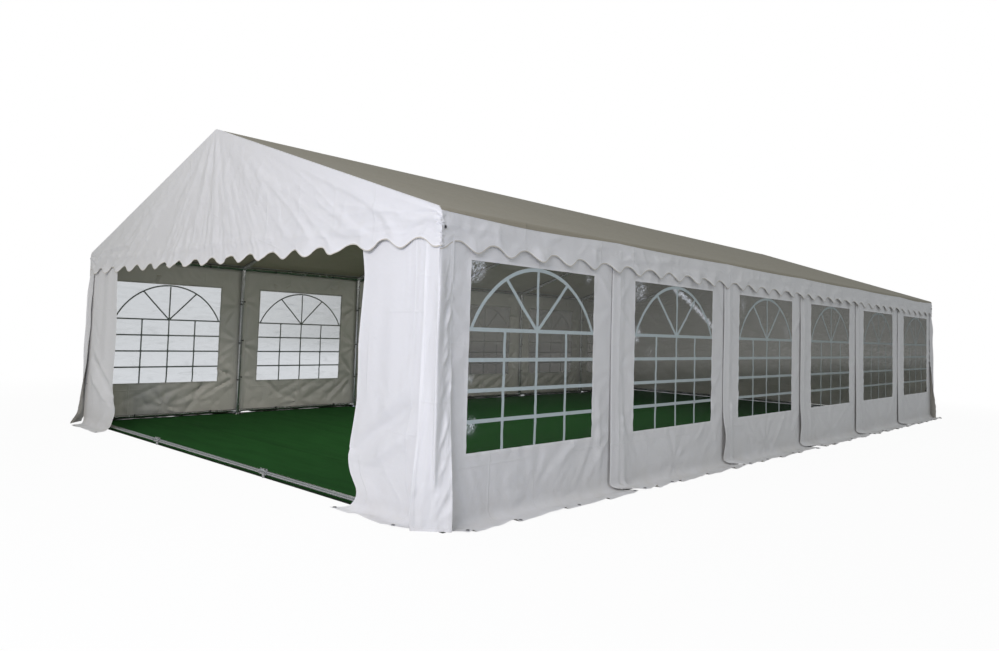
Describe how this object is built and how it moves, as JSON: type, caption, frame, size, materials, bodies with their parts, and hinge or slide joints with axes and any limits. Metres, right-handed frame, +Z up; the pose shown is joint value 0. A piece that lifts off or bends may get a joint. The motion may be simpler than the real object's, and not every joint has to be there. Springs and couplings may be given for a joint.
{
  "type": "marquee tent",
  "caption": "Gabled party marquee: steel portal frames, coated fabric roof and walls with arched window panels, scalloped valance, open front gable and a laid carpet.",
  "frame": {"origin": "centre of the footprint, on the ground", "axes": "+X to the right across the hall as seen from outside the open front, +Y along the hall from the open front gable to the back, +Z up"},
  "size_m": [6.3886, 12.3886, 2.9999],
  "materials": {
    "galvanised_steel": "dull spangled zinc",
    "wall_cloth": "white coated fabric, satin",
    "roof_cloth": "grey coated fabric, satin",
    "clear_film": "clear soft film with pale printed bars",
    "green_pile": "short needle pile, matt"
  },
  "bodies": {
    "root": {"portal_frame_1": "galvanised_steel", "portal_frame_2": "galvanised_steel", "portal_frame_3": "galvanised_steel", "portal_frame_4": "galvanised_steel", "portal_frame_5": "galvanised_steel", "portal_frame_6": "galvanised_steel", "portal_frame_7": "galvanised_steel", "ridge_purlin": "galvanised_steel", "left_eave_purlin": "galvanised_steel", "right_eave_purlin": "galvanised_steel", "left_ground_bar": "galvanised_steel", "right_ground_bar": "galvanised_steel", "front_ground_bar": "galvanised_steel", "back_ground_bar": "galvanised_steel", "roof_left": "roof_cloth", "roof_right": "roof_cloth", "left_valance": "wall_cloth", "right_valance": "wall_cloth", "front_gable": "wall_cloth", "back_gable": "wall_cloth", "left_wall_1": "wall_cloth", "left_wall_2": "wall_cloth", "left_wall_3": "wall_cloth", "left_wall_4": "wall_cloth", "left_wall_5": "wall_cloth", "left_wall_6": "wall_cloth", "right_wall_1": "wall_cloth", "right_wall_2": "wall_cloth", "right_wall_3": "wall_cloth", "right_wall_4": "wall_cloth", "right_wall_5": "wall_cloth", "right_wall_6": "wall_cloth", "left_window_film": "clear_film", "right_window_film": "clear_film", "front_left_curtain": "wall_cloth", "front_right_curtain": "wall_cloth", "back_wall_left": "wall_cloth", "back_wall_right": "wall_cloth", "front_left_corner_strip": "wall_cloth", "front_right_corner_strip": "wall_cloth", "back_left_corner_strip": "wall_cloth", "back_right_corner_strip": "wall_cloth", "floor_carpet": "green_pile"}
  },
  "joints": []
}
